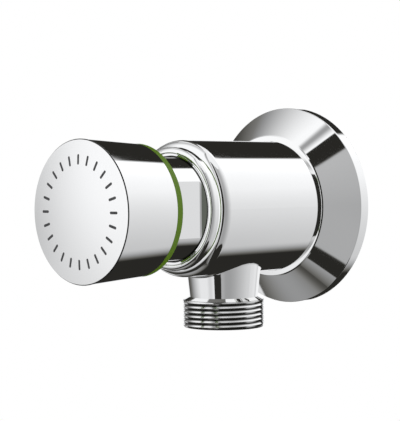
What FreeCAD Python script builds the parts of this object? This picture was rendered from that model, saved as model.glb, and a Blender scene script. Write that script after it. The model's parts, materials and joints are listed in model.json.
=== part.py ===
import FreeCAD, Part

import math
import os

# Urinal flush valve with a time-delay push button, in millimetres.
# The valve's axis is Y. The finished wall is the plane y = 0 and the button faces -Y. +Z is up.
# Places along the axis are given as the distance in front of the wall, so y = -distance.

# The barrel of the body
barrel_radius = 21.5
barrel_rear = 3.0
barrel_front = 55.2
barrel_front_round = 2.8
barrel_rear_chamfer = 0.8
barrel_mouth_chamfer = 0.5

# The inlet tail, with a G1/2 male thread drawn as a cylinder of its major diameter
inlet_thread_radius = 20.955 / 2
inlet_thread_length = 18.0
inlet_thread_front = 1.0
inlet_thread_chamfer = 1.2
inlet_relief_depth = 1.28
inlet_bore_radius = 7.0

# The outlet branch, with a G3/4 male thread drawn as a cylinder of its major diameter
outlet_distance = 34.0
outlet_thread_radius = 26.441 / 2
outlet_neck_length = 8.3
outlet_neck_radius = 11.07
outlet_root_radius = 11.85
outlet_thread_length = 8.6
outlet_top_chamfer = 1.1
outlet_end_chamfer = 0.7
outlet_blend = 0.9
outlet_bore_radius = 7.5

# The cavities in the body, from the front to the rear
head_seat_distance = 42.0
chamber_radius = 14.8
chamber_rear = 26.0
cage_bore_rear = 21.0
inlet_chamber_radius = 11.4

# The head, with its delay cylinder and wrench flats
head_radius = 16.0
head_flats_across = 27.0
head_front_chamfer = 0.8
head_collar_height = 2.3
head_collar_rear_chamfer = 0.25
head_bead_height = 0.7
head_bead_width = 2.0
head_bead_outer_round = 1.4
head_bead_inner_round = 0.4
head_groove_width = 0.7
head_groove_depth = 1.0
head_collar_land = 0.6
head_flats_chamfer = 0.4
cylinder_radius = 11.5
seal_pocket_radius = 6.5
seal_pocket_rim = 0.7
pocket_wall = 1.0
rod_seal_length = 2.5
guide_bush_length = 3.0

# The push button and its ring
button_front = 94.0
button_rear = 71.4
button_flare = 1.25
button_wall = 2.9
button_face_wall = 3.0
button_face_crown = 0.6
button_front_chamfer = 0.35
button_ring_width = 2.3
button_ring_thickness = 3.82
button_ring_lip = 3.0
button_boss_wall = 2.5
button_boss_length = 5.0
button_travel = 6.0

# The rod and what it carries
rod_radius = 3.0
rod_end_radius = 2.5
rod_end_beyond_nut = 0.3
rod_collar_width = 1.8
rod_collar_length = 1.4
insert_wall = 1.5
delay_chamber_length = 2.0
piston_length = 7.5
piston_clearance = 0.3
piston_plate = 3.4
piston_seal_width = 3.2
clip_width = 2.0
clip_thickness = 0.8
clip_groove_depth = 0.4
clip_opening = 2.4
jet_radius = 0.9
jet_bore_radius = 0.3

# The cage and the seat
cage_radius = 12.0
cage_bore_inner_radius = 9.5
cage_thread_radius = 13.0
cage_thread_length = 3.5
cage_flange_thickness = 2.0
cage_flange_gap = 0.2
cage_floor = 2.5
window_count = 4
window_angle = 58.0
window_end_wall = 1.0
bleed_hole_count = 4
bleed_hole_radius = 1.2
seat_ring_radius = 9.0
seat_ring_bore_radius = 6.5
seat_ring_length = 3.0
seat_lip_height = 0.4
seat_lip_inner_radius = 6.9
seat_lip_outer_radius = 7.6
washer_edge = 0.9
washer_thickness = 3.0
disc_rim_wall = 0.85
disc_rim_height = 2.0
disc_floor = 2.6
nut_flats_across = 8.0
nut_thickness = 3.2

# The return spring
spring_wire = 1.2
spring_mean_radius = 7.0
spring_turns = 6
spring_end_pitch = 1.8
spring_washer_thickness = 0.8

# The rod lock nut
lock_nut_flats_across = 10.0
lock_nut_thickness = 2.4

# The strainer in the inlet tail
strainer_flange_thickness = 1.0
strainer_flange_width = 1.4
strainer_gap = 0.8
strainer_wall = 0.6
strainer_length = 13.0
strainer_slot_count = 8
strainer_slot_width = 1.6
strainer_slot_length = 8.0

# The wall flange and its rubber ring
flange_radius = 32.83
flange_rim_depth = 3.8
flange_cone_front = 11.8
flange_wall = 1.5
flange_lip_width = 2.1
flange_lip_step = 0.6
flange_collar_wall = 2.8
flange_collar_rear = 5.6
grip_ring_distance = 8.6
grip_ring_section = 1.0

# The round seals
o_ring_section = 1.0
head_o_ring_from_front = 4.4
cage_o_ring_from_rear = 3.1

# Clearances
thread_clearance = 0.05
seat_clearance = 0.05
running_clearance = 0.05
ring_clearance = 0.05
flange_clearance = 0.1
groove_side_clearance = 0.3
button_ring_clearance = 0.4
lock_nut_clearance = 0.3
rod_end_clearance = 0.6
inlet_chamber_clearance = 0.6
spring_end_clearance = 0.1

# Radii that follow from the sizes above
inlet_relief_radius = inlet_thread_radius - inlet_relief_depth
strainer_radius = inlet_bore_radius - strainer_gap
strainer_flange_radius = inlet_bore_radius + strainer_flange_width
cage_bore_radius = cage_radius + running_clearance
piston_radius = cylinder_radius - piston_clearance
piston_core_radius = cylinder_radius - piston_seal_width
insert_radius = rod_radius + insert_wall
button_boss_radius = insert_radius + button_boss_wall
clip_radius = rod_radius + clip_width
rod_collar_radius = rod_radius + rod_collar_width
washer_radius = seat_lip_outer_radius + washer_edge
disc_radius = washer_radius + thread_clearance + disc_rim_wall
head_groove_radius = head_radius + head_groove_width
head_bead_inner_radius = head_groove_radius + head_collar_land
head_collar_radius = head_bead_inner_radius + head_bead_width
button_ring_bore_radius = head_radius + button_ring_clearance
button_rear_radius = button_ring_bore_radius + button_ring_thickness
button_front_radius = button_rear_radius + button_flare
button_taper = button_flare / (button_front - button_rear)
button_skirt_radius = button_rear_radius + button_taper * button_ring_width
button_inner_radius = button_rear_radius - button_wall
flange_bore_radius = barrel_radius + flange_clearance
flange_cone_front_radius = flange_bore_radius + flange_lip_width
flange_collar_radius = flange_bore_radius + flange_collar_wall

# Places along the axes that follow from the sizes above
inlet_end = inlet_thread_front - inlet_thread_length
outlet_thread_top = barrel_radius + outlet_neck_length
outlet_end = outlet_thread_top + outlet_thread_length
head_rear = head_seat_distance + cage_flange_thickness
head_collar_front = barrel_front + head_collar_height
head_bead_front = head_collar_front + head_bead_height
head_o_ring_distance = barrel_front - head_o_ring_from_front

button_ring_front = button_rear + button_ring_width
button_inner_face = button_front - button_face_wall
button_boss_rear = button_inner_face - button_boss_length
lock_nut_rear = button_boss_rear - lock_nut_thickness
rod_front = button_inner_face - rod_end_clearance

rod_clip_front = lock_nut_rear - button_travel - lock_nut_clearance
head_front = rod_clip_front + seal_pocket_rim
bush_front = rod_clip_front - clip_thickness
bush_rear = bush_front - guide_bush_length
pocket_rear = bush_rear - rod_seal_length
cylinder_front = pocket_rear - pocket_wall
piston_front = cylinder_front - delay_chamber_length
piston_rear = piston_front - piston_length

cage_rear = cage_bore_rear + thread_clearance + seat_lip_height
seat_lip_distance = cage_rear - seat_lip_height
seat_ring_front = cage_rear + seat_ring_length
cage_o_ring_distance = cage_rear + cage_o_ring_from_rear
cage_floor_rear = head_seat_distance - cage_floor / 2
cage_floor_front = cage_floor_rear + cage_floor
cage_front = head_rear + cage_thread_length
spring_rear = cage_floor_front + spring_washer_thickness

washer_front = seat_lip_distance - seat_clearance
washer_rear = washer_front - washer_thickness
disc_rear = washer_rear - disc_floor
nut_rear = disc_rear - nut_thickness
rod_rear = nut_rear - rod_end_beyond_nut
inlet_chamber_rear = rod_rear - button_travel - inlet_chamber_clearance

X = FreeCAD.Vector(1, 0, 0)
FORWARD = FreeCAD.Vector(0, -1, 0)
UP = FreeCAD.Vector(0, 0, 1)
DOWN = FreeCAD.Vector(0, 0, -1)


def on_axis(distance):
    return FreeCAD.Vector(0, -distance, 0)


def turned(outline):
    # Turns a closed outline of (distance from the wall, radius) corners about the valve's axis.
    corners = [FreeCAD.Vector(radius, -distance, 0) for distance, radius in outline]
    face = Part.Face(Part.makePolygon(corners + corners[:1]))
    return face.revolve(FreeCAD.Vector(0, 0, 0), FORWARD, 360)


def is_circle_at(edge, distance, radius):
    if not isinstance(edge.Curve, Part.Circle):
        return False
    same_place = abs(edge.Curve.Center.y + distance) < 0.01
    return same_place and abs(edge.Curve.Radius - radius) < 0.01


def round_circle(shape, distance, radius, round_radius):
    # Rounds the sharp circular edge that a turned shape has at this place.
    edges = [edge for edge in shape.Edges if is_circle_at(edge, distance, radius)]
    return shape.makeFillet(round_radius, edges)


def dome(radius, distance, height):
    # A shallow slice of a ball, standing on a circle of this radius.
    corner = on_axis(distance) + X * radius
    top = on_axis(distance + height)
    ball_radius = (radius * radius + height * height) / (2 * height)
    ball_centre = distance + height - ball_radius
    half_angle = math.asin(radius / ball_radius) / 2
    middle = on_axis(ball_centre + ball_radius * math.cos(half_angle))
    middle += X * ball_radius * math.sin(half_angle)
    edges = [
        Part.makeLine(on_axis(distance), corner),
        Part.Arc(corner, middle, top).toShape(),
        Part.makeLine(top, on_axis(distance)),
    ]
    return Part.Face(Part.Wire(edges)).revolve(FreeCAD.Vector(0, 0, 0), FORWARD, 360)


def rod(radius, rear, front):
    return Part.makeCylinder(radius, front - rear, on_axis(rear), FORWARD)


def tube(inner_radius, outer_radius, rear, front):
    return rod(outer_radius, rear, front).cut(rod(inner_radius, rear, front))


def ring_seal(section_radius, mean_radius, distance):
    return Part.makeTorus(mean_radius, section_radius, on_axis(distance), FORWARD)


def hex_nut(flats_across, hole_radius, rear, front):
    corner_radius = flats_across / 2 / math.cos(math.radians(30))
    corners = []
    for index in range(7):
        angle = math.radians(60 * index)
        outward = FreeCAD.Vector(math.cos(angle), 0, math.sin(angle))
        corners.append(on_axis(rear) + outward * corner_radius)
    prism = Part.Face(Part.makePolygon(corners)).extrude(FORWARD * (front - rear))
    chamfer = turned([
        (rear, 0),
        (rear, flats_across / 2),
        (rear + (corner_radius - flats_across / 2) * 0.6, corner_radius),
        (front - (corner_radius - flats_across / 2) * 0.6, corner_radius),
        (front, flats_across / 2),
        (front, 0),
    ])
    return prism.common(chamfer).cut(rod(hole_radius, rear, front))


def around_axis(shape, count, first_angle=0.0):
    copies = []
    for index in range(count):
        copy = shape.copy()
        copy.rotate(FreeCAD.Vector(0, 0, 0), FORWARD, first_angle + 360 * index / count)
        copies.append(copy)
    return copies


def barrel_outside():
    barrel = turned([
        (barrel_rear, 0),
        (barrel_rear, barrel_radius - barrel_rear_chamfer),
        (barrel_rear + barrel_rear_chamfer, barrel_radius),
        (barrel_front, barrel_radius),
        (barrel_front, 0),
    ])
    return round_circle(barrel, barrel_front, barrel_radius, barrel_front_round)


def inlet_tail():
    return turned([
        (inlet_end, 0),
        (inlet_end, inlet_thread_radius - inlet_thread_chamfer),
        (inlet_end + inlet_thread_chamfer, inlet_thread_radius),
        (inlet_thread_front, inlet_thread_radius),
        (inlet_thread_front, inlet_relief_radius),
        (barrel_rear, inlet_relief_radius),
        (barrel_rear, 0),
    ])


def outlet_branch():
    centre = on_axis(outlet_distance)
    stem_bottom = outlet_thread_top - outlet_top_chamfer
    stem_slope = (outlet_root_radius - outlet_neck_radius) / (stem_bottom - barrel_radius)
    stem_start = barrel_radius / 2
    stem_start_radius = outlet_root_radius + stem_slope * (barrel_radius - stem_start)
    corners = [
        (0, stem_start),
        (stem_start_radius, stem_start),
        (outlet_neck_radius, stem_bottom),
        (outlet_thread_radius, outlet_thread_top),
        (outlet_thread_radius, outlet_end - outlet_end_chamfer),
        (outlet_thread_radius - outlet_end_chamfer, outlet_end),
        (0, outlet_end),
    ]
    points = [centre + X * radius + DOWN * depth for radius, depth in corners]
    face = Part.Face(Part.makePolygon(points + points[:1]))
    return face.revolve(centre, DOWN, 360)


def is_branch_root(edge):
    box = edge.BoundBox
    wide = box.XLength > 2 * outlet_neck_radius and box.YLength > 2 * outlet_neck_radius
    saddle = box.ZLength > 0.5
    return wide and saddle and -barrel_radius - 0.1 < box.ZMin and box.ZMax < -barrel_radius / 2


def make_valve_body():
    outside = barrel_outside().fuse(outlet_branch())
    root_edges = [edge for edge in outside.Edges if is_branch_root(edge)]
    outside = outside.makeFillet(outlet_blend, root_edges)
    outside = outside.fuse(inlet_tail())
    hole_radius = head_radius + thread_clearance
    main_bore = turned([
        (barrel_front, 0),
        (barrel_front, hole_radius + barrel_mouth_chamfer),
        (barrel_front - barrel_mouth_chamfer, hole_radius),
        (head_seat_distance, hole_radius),
        (head_seat_distance, chamber_radius),
        (chamber_rear, chamber_radius),
        (chamber_rear, cage_bore_radius),
        (cage_bore_rear, cage_bore_radius),
        (cage_bore_rear, inlet_chamber_radius),
        (inlet_chamber_rear, inlet_chamber_radius),
        (barrel_rear, inlet_bore_radius),
        (inlet_end, inlet_bore_radius),
        (inlet_end, 0),
    ])
    strainer_recess = rod(
        strainer_flange_radius + thread_clearance,
        inlet_end,
        inlet_end + strainer_flange_thickness,
    )
    outlet_bore = Part.makeCylinder(outlet_bore_radius, outlet_end, on_axis(outlet_distance), DOWN)
    return outside.cut(main_bore).cut(strainer_recess).cut(outlet_bore).removeSplitter()


def wrench_flats():
    # The two pieces that a mill takes off the head's neck. They stop at the collar, inside its bead.
    side = head_flats_across / 2
    outline = [
        (head_front, side),
        (head_collar_front + head_flats_chamfer, side),
        (head_collar_front, side + head_flats_chamfer),
        (head_collar_front, 2 * head_radius),
        (head_front, 2 * head_radius),
    ]
    corners = [on_axis(distance) + X * across + DOWN * 2 * head_radius for distance, across in outline]
    block = Part.Face(Part.makePolygon(corners + corners[:1])).extrude(UP * 4 * head_radius)
    room = rod(head_bead_inner_radius, head_collar_front, head_front)
    return around_axis(block.common(room), 2)


def make_head():
    # A collar seats on the front of the barrel and carries a raised, rounded bead.
    # A narrow groove parts the collar from the neck. The delay cylinder and the pocket
    # for the rod's seal are cut from the inside.
    hole_radius = rod_radius + 0.3
    shell = turned([
        (head_rear, cage_thread_radius + thread_clearance),
        (head_rear, head_radius),
        (barrel_front, head_radius),
        (barrel_front, head_collar_radius - head_collar_rear_chamfer),
        (barrel_front + head_collar_rear_chamfer, head_collar_radius),
        (head_bead_front, head_collar_radius),
        (head_bead_front, head_bead_inner_radius),
        (head_collar_front, head_bead_inner_radius),
        (head_collar_front, head_groove_radius),
        (head_collar_front - head_groove_depth, head_groove_radius),
        (head_collar_front - head_groove_depth, head_radius),
        (head_front - head_front_chamfer, head_radius),
        (head_front, head_radius - head_front_chamfer),
        (head_front, seal_pocket_radius),
        (pocket_rear, seal_pocket_radius),
        (pocket_rear, hole_radius),
        (cylinder_front, hole_radius),
        (cylinder_front, cylinder_radius),
        (cage_front + thread_clearance, cylinder_radius),
        (cage_front + thread_clearance, cage_thread_radius + thread_clearance),
    ])
    shell = round_circle(shell, head_bead_front, head_collar_radius, head_bead_outer_round)
    shell = round_circle(shell, head_bead_front, head_bead_inner_radius, head_bead_inner_round)
    shell = shell.cut(ring_groove(head_o_ring_distance, head_radius + thread_clearance))
    for flat in wrench_flats():
        shell = shell.cut(flat)
    clip_groove = rod(seal_pocket_radius + clip_groove_depth, bush_front, bush_front + clip_thickness)
    return shell.cut(clip_groove)


def ring_groove(distance, bore_radius):
    # The groove for a round seal that closes against a bore of the given radius.
    half_width = o_ring_section + groove_side_clearance
    floor_radius = bore_radius - 2 * o_ring_section - ring_clearance
    return tube(floor_radius, bore_radius + 1.0, distance - half_width, distance + half_width)


def o_ring(distance, bore_radius):
    return ring_seal(o_ring_section, bore_radius - o_ring_section - ring_clearance / 2, distance)


def make_head_o_ring():
    return o_ring(head_o_ring_distance, head_radius + thread_clearance)


def make_cage_o_ring():
    return o_ring(cage_o_ring_distance, cage_bore_radius)


def make_valve_cage():
    # A windowed sleeve. Its flange is clamped between the head and the ledge in the body.
    guide_radius = rod_radius + running_clearance
    flow_radius = seat_ring_bore_radius + 0.8
    shell = turned([
        (cage_rear, seat_ring_radius + thread_clearance),
        (cage_rear, cage_radius),
        (head_seat_distance, cage_radius),
        (head_seat_distance, head_radius - cage_flange_gap),
        (head_rear, head_radius - cage_flange_gap),
        (head_rear, cage_thread_radius),
        (cage_front, cage_thread_radius),
        (cage_front, cage_bore_inner_radius),
        (cage_floor_front, cage_bore_inner_radius),
        (cage_floor_front, guide_radius),
        (cage_floor_rear, guide_radius),
        (cage_floor_rear, cage_bore_inner_radius),
        (chamber_rear, cage_bore_inner_radius),
        (chamber_rear, flow_radius),
        (seat_ring_front, flow_radius),
        (seat_ring_front, seat_ring_radius + thread_clearance),
    ])
    shell = shell.cut(ring_groove(cage_o_ring_distance, cage_bore_radius))
    window_rear = chamber_rear + window_end_wall
    window_length = cage_floor_rear - window_end_wall - window_rear
    window = Part.makeCylinder(cage_radius + 1.0, window_length, on_axis(window_rear), FORWARD, window_angle)
    for shape in around_axis(window, window_count):
        shell = shell.cut(shape)
    bleed_hole = Part.makeCylinder(
        bleed_hole_radius,
        cage_floor,
        on_axis(cage_floor_rear) + X * (rod_radius + cage_bore_inner_radius) / 2,
        FORWARD,
    )
    for shape in around_axis(bleed_hole, bleed_hole_count, 45.0):
        shell = shell.cut(shape)
    return shell


def make_seat_ring():
    return turned([
        (cage_rear, seat_ring_radius),
        (seat_ring_front, seat_ring_radius),
        (seat_ring_front, seat_ring_bore_radius),
        (cage_rear, seat_ring_bore_radius),
        (seat_lip_distance, seat_lip_inner_radius),
        (seat_lip_distance, seat_lip_outer_radius),
        (cage_rear, seat_lip_outer_radius + 0.3),
    ])


def make_disc_washer():
    return tube(rod_end_radius + thread_clearance, washer_radius, washer_rear, washer_front)


def make_valve_disc():
    hole_radius = rod_end_radius + thread_clearance
    rim_front = washer_rear + disc_rim_height
    return turned([
        (disc_rear, hole_radius),
        (disc_rear, disc_radius - 1.2),
        (disc_rear + 1.2, disc_radius),
        (rim_front, disc_radius),
        (rim_front, washer_radius + thread_clearance),
        (washer_rear, washer_radius + thread_clearance),
        (washer_rear, hole_radius),
    ])


def make_disc_nut():
    return hex_nut(nut_flats_across, rod_end_radius + thread_clearance, nut_rear, disc_rear)


def make_plunger_rod():
    # Thin at the rear for the disc, with a collar in front of the washer and a groove for each clip.
    shaft = turned([
        (rod_rear, 0),
        (rod_rear, rod_end_radius - 0.5),
        (rod_rear + 0.5, rod_end_radius),
        (washer_front, rod_end_radius),
        (washer_front, rod_collar_radius),
        (washer_front + rod_collar_length, rod_radius),
        (rod_front - 0.6, rod_radius),
        (rod_front, rod_radius - 0.6),
        (rod_front, 0),
    ])
    groove_radius = rod_radius - clip_groove_depth
    for rear in piston_clip_places():
        shaft = shaft.cut(tube(groove_radius, rod_radius + 1.0, rear, rear + clip_thickness))
    return shaft


def piston_clip_places():
    return [piston_rear - clip_thickness, piston_front]


def make_piston():
    shell = turned([
        (piston_rear, rod_radius + thread_clearance),
        (piston_rear, piston_radius),
        (piston_rear + piston_plate, piston_radius),
        (piston_rear + piston_plate, piston_core_radius),
        (piston_front, piston_core_radius),
        (piston_front, rod_radius + thread_clearance),
    ])
    return shell.cut(jet_shape(jet_radius + thread_clearance))


def jet_shape(radius):
    middle = (rod_radius + piston_core_radius) / 2
    return Part.makeCylinder(radius, piston_length, on_axis(piston_rear) + UP * middle, FORWARD)


def make_bleed_jet():
    return jet_shape(jet_radius).cut(jet_shape(jet_bore_radius))


def make_piston_seal():
    # A lip seal. Its open side faces the delay chamber in front.
    rear = piston_rear + piston_plate + 0.1
    front = piston_front - 0.3
    inner = piston_core_radius + thread_clearance
    outer = cylinder_radius - running_clearance
    lip = 0.9
    middle = (inner + outer) / 2
    return turned([
        (rear, inner),
        (rear, outer - 0.35),
        (front, outer),
        (front, outer - lip),
        (rear + lip * 1.4, middle),
        (front, inner + lip * 0.7),
        (front, inner),
    ])


def make_rod_seal():
    # A lip seal on the rod. Its open side faces the water in the cylinder.
    front = bush_rear - 0.1
    rear = pocket_rear + 0.1
    inner = rod_radius + running_clearance
    outer = seal_pocket_radius - thread_clearance
    lip = 0.9
    middle = (inner + outer) / 2
    return turned([
        (front, inner + 0.2),
        (rear, inner),
        (rear, inner + lip * 0.7),
        (front - lip, middle),
        (rear, outer - lip * 0.7),
        (rear, outer),
        (front, outer),
    ])


def make_rod_guide_bush():
    return turned([
        (bush_rear, rod_radius + running_clearance),
        (bush_rear, seal_pocket_radius - thread_clearance),
        (bush_front, seal_pocket_radius - thread_clearance),
        (bush_front, rod_radius + running_clearance),
    ])


def open_clip(inner_radius, outer_radius, rear):
    ring = tube(inner_radius, outer_radius, rear, rear + clip_thickness)
    opening = Part.makeBox(
        clip_opening,
        clip_thickness,
        outer_radius + 1.0,
        FreeCAD.Vector(-clip_opening / 2, -rear - clip_thickness, 0),
    )
    return ring.cut(opening)


def make_rod_clip():
    outer_radius = seal_pocket_radius + clip_groove_depth - thread_clearance
    return open_clip(outer_radius - 1.6, outer_radius, bush_front)


def make_piston_clips():
    inner_radius = rod_radius - clip_groove_depth + thread_clearance
    clips = [open_clip(inner_radius, clip_radius, rear) for rear in piston_clip_places()]
    return Part.makeCompound(clips)


def make_push_button():
    # A tapered cap with a crowned face, hollow behind, with a boss for the rod's insert in the middle.
    face_radius = button_front_radius - button_front_chamfer
    cap = turned([
        (button_ring_front, button_inner_radius),
        (button_ring_front, button_skirt_radius),
        (button_front - button_front_chamfer, button_front_radius),
        (button_front, face_radius),
        (button_front, 0),
        (button_inner_face, 0),
        (button_inner_face, insert_radius),
        (button_boss_rear, insert_radius),
        (button_boss_rear, button_boss_radius),
        (button_inner_face, button_boss_radius + 0.5),
        (button_inner_face, button_inner_radius),
    ])
    return cap.fuse(dome(face_radius, button_front, button_face_crown)).removeSplitter()


def make_button_ring():
    # The coloured ring. Its inner lip clips into the mouth of the button.
    lip_front = button_ring_front + button_ring_lip
    lip_radius = button_inner_radius - thread_clearance
    return turned([
        (button_rear, button_ring_bore_radius),
        (button_rear, button_rear_radius),
        (button_ring_front, button_skirt_radius),
        (button_ring_front, lip_radius),
        (lip_front, lip_radius),
        (lip_front, button_ring_bore_radius),
    ])


def make_button_insert():
    return tube(
        rod_radius + thread_clearance,
        insert_radius - thread_clearance,
        button_boss_rear,
        button_inner_face,
    )


def make_rod_lock_nut():
    return hex_nut(lock_nut_flats_across, rod_radius + thread_clearance, lock_nut_rear, button_boss_rear)


def make_spring_washer():
    return tube(
        spring_mean_radius - 1.6,
        cage_bore_inner_radius - 0.2,
        cage_floor_front,
        spring_rear,
    )


def arc_through(start, corner, end):
    # The round arc that leaves start towards corner and arrives at end from it.
    weight = (end - start).Length / 2 / (corner - start).Length
    middle = (start + corner * (2 * weight) + end) * (1 / (2 + 2 * weight))
    return Part.Arc(start, middle, end).toShape()


def spring_heights(bottom, top):
    # The wire's height at each quarter turn, with the first and last turn wound closer than the rest.
    close_rise = spring_end_pitch / 4
    open_rise = (top - bottom - 2 * spring_end_pitch) / (4 * (spring_turns - 2))
    heights = [bottom]
    for quarter in range(4 * spring_turns):
        at_end = quarter < 4 or quarter >= 4 * (spring_turns - 1)
        heights.append(heights[-1] + (close_rise if at_end else open_rise))
    return heights


def spring_point(heights, quarter):
    # The place and the direction of the wire's centre at one quarter turn.
    angle = math.pi / 2 * quarter
    below = heights[max(quarter - 1, 0)]
    above = heights[min(quarter + 1, len(heights) - 1)]
    steps = min(quarter + 1, len(heights) - 1) - max(quarter - 1, 0)
    sideways = FreeCAD.Vector(-math.sin(angle), 0, math.cos(angle)) * (spring_mean_radius * math.pi / 2)
    heading = sideways + FORWARD * ((above - below) / steps)
    heading.normalize()
    outward = FreeCAD.Vector(math.cos(angle), 0, math.sin(angle))
    return on_axis(heights[quarter]) + outward * spring_mean_radius, heading


def spring_path(heights):
    # Each quarter turn is two arcs that meet smoothly.
    arcs = []
    for quarter in range(len(heights) - 1):
        start, leave = spring_point(heights, quarter)
        end, arrive = spring_point(heights, quarter + 1)
        chord = end - start
        spread = 2 * (1 - leave.dot(arrive))
        along = chord.dot(leave + arrive)
        reach = (math.sqrt(along * along + spread * chord.dot(chord)) - along) / spread
        first_corner = start + leave * reach
        second_corner = end - arrive * reach
        joint = (first_corner + second_corner) * 0.5
        arcs.append(arc_through(start, first_corner, joint))
        arcs.append(arc_through(joint, second_corner, end))
    return Part.Wire(arcs)


def least_gap_between_turns(path):
    # Measured between points of the wire's centre line that lie at least half a turn apart.
    points = []
    for arc in path.Edges:
        points.extend(arc.discretize(5)[:-1])
    half_turn = len(points) // (2 * spring_turns)
    least = min(
        (points[late] - points[early]).Length
        for early in range(len(points))
        for late in range(early + half_turn, len(points))
    )
    return least - spring_wire


def make_return_spring():
    bottom = spring_rear + spring_end_clearance + spring_wire / 2
    top = piston_rear - spring_end_clearance - spring_wire / 2
    heights = spring_heights(bottom, top)
    path = spring_path(heights)
    start, heading = spring_point(heights, 0)
    section = Part.Wire(Part.makeCircle(spring_wire / 2, start, heading))
    print("least gap between the spring's turns", round(least_gap_between_turns(path), 3))
    return path.makePipeShell([section], True, False)


def make_inlet_strainer():
    # A basket with a flange, open to the incoming water and slotted round its wall.
    flange_front = inlet_end + strainer_flange_thickness
    closed_end = inlet_end + strainer_length
    shell = turned([
        (inlet_end, strainer_radius - strainer_wall),
        (inlet_end, strainer_flange_radius),
        (flange_front, strainer_flange_radius),
        (flange_front, strainer_radius),
        (closed_end, strainer_radius),
        (closed_end, 0),
        (closed_end - strainer_wall, 0),
        (closed_end - strainer_wall, strainer_radius - strainer_wall),
    ])
    slot = Part.makeBox(
        strainer_slot_width,
        strainer_slot_length,
        strainer_radius + 1.0,
        FreeCAD.Vector(-strainer_slot_width / 2, -(flange_front + 1.5) - strainer_slot_length, 0),
    )
    for shape in around_axis(slot, strainer_slot_count):
        shell = shell.cut(shape)
    return shell


def make_wall_flange():
    # A conical shell with a rolled rim behind and a collar round the barrel in front.
    slope = (flange_radius - flange_cone_front_radius) / (flange_cone_front - flange_rim_depth)
    inner_radius = flange_radius - flange_wall
    inner_rim = flange_rim_depth - flange_wall * 0.45
    inner_front = inner_rim + (inner_radius - flange_collar_radius) / slope
    lip_front = flange_cone_front + flange_lip_step
    shell = turned([
        (0, inner_radius),
        (0, flange_radius),
        (flange_rim_depth, flange_radius),
        (flange_cone_front, flange_cone_front_radius),
        (lip_front, flange_cone_front_radius - 0.15),
        (lip_front, flange_bore_radius),
        (flange_collar_rear, flange_bore_radius),
        (flange_collar_rear, flange_collar_radius),
        (inner_front, flange_collar_radius),
        (inner_rim, inner_radius),
    ])
    half_width = grip_ring_section + groove_side_clearance
    floor_radius = barrel_radius + ring_clearance + 2 * grip_ring_section + ring_clearance
    return shell.cut(rod(floor_radius, grip_ring_distance - half_width, grip_ring_distance + half_width))


def make_flange_grip_ring():
    mean_radius = barrel_radius + ring_clearance + grip_ring_section
    return ring_seal(grip_ring_section, mean_radius, grip_ring_distance)


pieces = {
    "valve_body": make_valve_body,
    "wall_flange": make_wall_flange,
    "flange_grip_ring": make_flange_grip_ring,
    "inlet_strainer": make_inlet_strainer,
    "head": make_head,
    "head_o_ring": make_head_o_ring,
    "valve_cage": make_valve_cage,
    "cage_o_ring": make_cage_o_ring,
    "seat_ring": make_seat_ring,
    "spring_washer": make_spring_washer,
    "rod_seal": make_rod_seal,
    "rod_guide_bush": make_rod_guide_bush,
    "rod_clip": make_rod_clip,
    "return_spring": make_return_spring,
    "push_button": make_push_button,
    "button_ring": make_button_ring,
    "button_insert": make_button_insert,
    "rod_lock_nut": make_rod_lock_nut,
    "plunger_rod": make_plunger_rod,
    "piston": make_piston,
    "piston_seal": make_piston_seal,
    "piston_clips": make_piston_clips,
    "bleed_jet": make_bleed_jet,
    "valve_disc": make_valve_disc,
    "disc_washer": make_disc_washer,
    "disc_nut": make_disc_nut,
}

os.makedirs("parts", exist_ok=True)
for node, make in pieces.items():
    shape = make()
    shape.exportStep("parts/" + node + ".step")
    print(node, "solids", len(shape.Solids), "valid", shape.isValid(), "volume", round(shape.Volume, 1))
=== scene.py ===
# %% [markdown]
# A chromed flush valve for a wall, with a push button and a coloured ring.
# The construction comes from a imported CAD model, which this lesson loads as a fixed frame.
# Blender adds what the eye looks for: mirror surfaces with exact curves, cut threads,
# a finish for every part, and the light of a small photo studio.

import json
import math

import bmesh
import bpy
from mathutils import Euler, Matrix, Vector


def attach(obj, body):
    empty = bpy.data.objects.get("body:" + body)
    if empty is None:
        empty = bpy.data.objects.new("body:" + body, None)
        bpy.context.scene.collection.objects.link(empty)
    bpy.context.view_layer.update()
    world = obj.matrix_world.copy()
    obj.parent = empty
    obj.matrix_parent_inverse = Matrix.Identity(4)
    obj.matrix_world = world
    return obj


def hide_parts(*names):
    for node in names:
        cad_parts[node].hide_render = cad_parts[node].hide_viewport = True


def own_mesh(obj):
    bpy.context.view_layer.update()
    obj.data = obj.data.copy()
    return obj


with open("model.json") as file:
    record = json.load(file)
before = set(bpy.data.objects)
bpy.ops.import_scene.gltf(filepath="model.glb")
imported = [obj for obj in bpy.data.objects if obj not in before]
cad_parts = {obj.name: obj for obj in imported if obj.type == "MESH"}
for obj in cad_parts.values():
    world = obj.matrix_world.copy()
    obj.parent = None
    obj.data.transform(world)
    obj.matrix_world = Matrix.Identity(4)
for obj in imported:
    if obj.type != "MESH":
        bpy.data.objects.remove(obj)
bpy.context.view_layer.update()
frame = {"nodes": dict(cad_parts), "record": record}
nodes = frame["nodes"]


def new_object(name, data):
    thing = bpy.data.objects.new(name, data)
    bpy.context.scene.collection.objects.link(thing)
    return thing


print("parts in the frame:", len(nodes))

# %% [markdown]
# The valve's axis is Y. The wall is the plane y = 0, the button faces -Y and the outlet points down.
# A place along the axis is given as its distance in front of the wall, so y = -distance.
# These are the sizes of the parts that get a finer surface here. Most are the CAD model's own. The grooves
# of the threads, the rounds and the button's bevel are added, the button's crown stays a thousandth of
# a millimetre inside the CAD model's, and the flange's lip leans back a little, to a narrow chamfer.

# %% Sizes
mm = 0.001

outlet_distance = 34.0 * mm
outlet_thread_radius = 26.441 / 2 * mm
outlet_thread_top = 29.8 * mm
outlet_end = 38.4 * mm
outlet_stem_bottom = 28.7 * mm
outlet_stem_radius = 11.07 * mm
outlet_pitch = 1.49 * mm
outlet_thread_depth = 0.46 * mm
outlet_land = 0.30 * mm
outlet_thread_shift = -0.5 * mm

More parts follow.
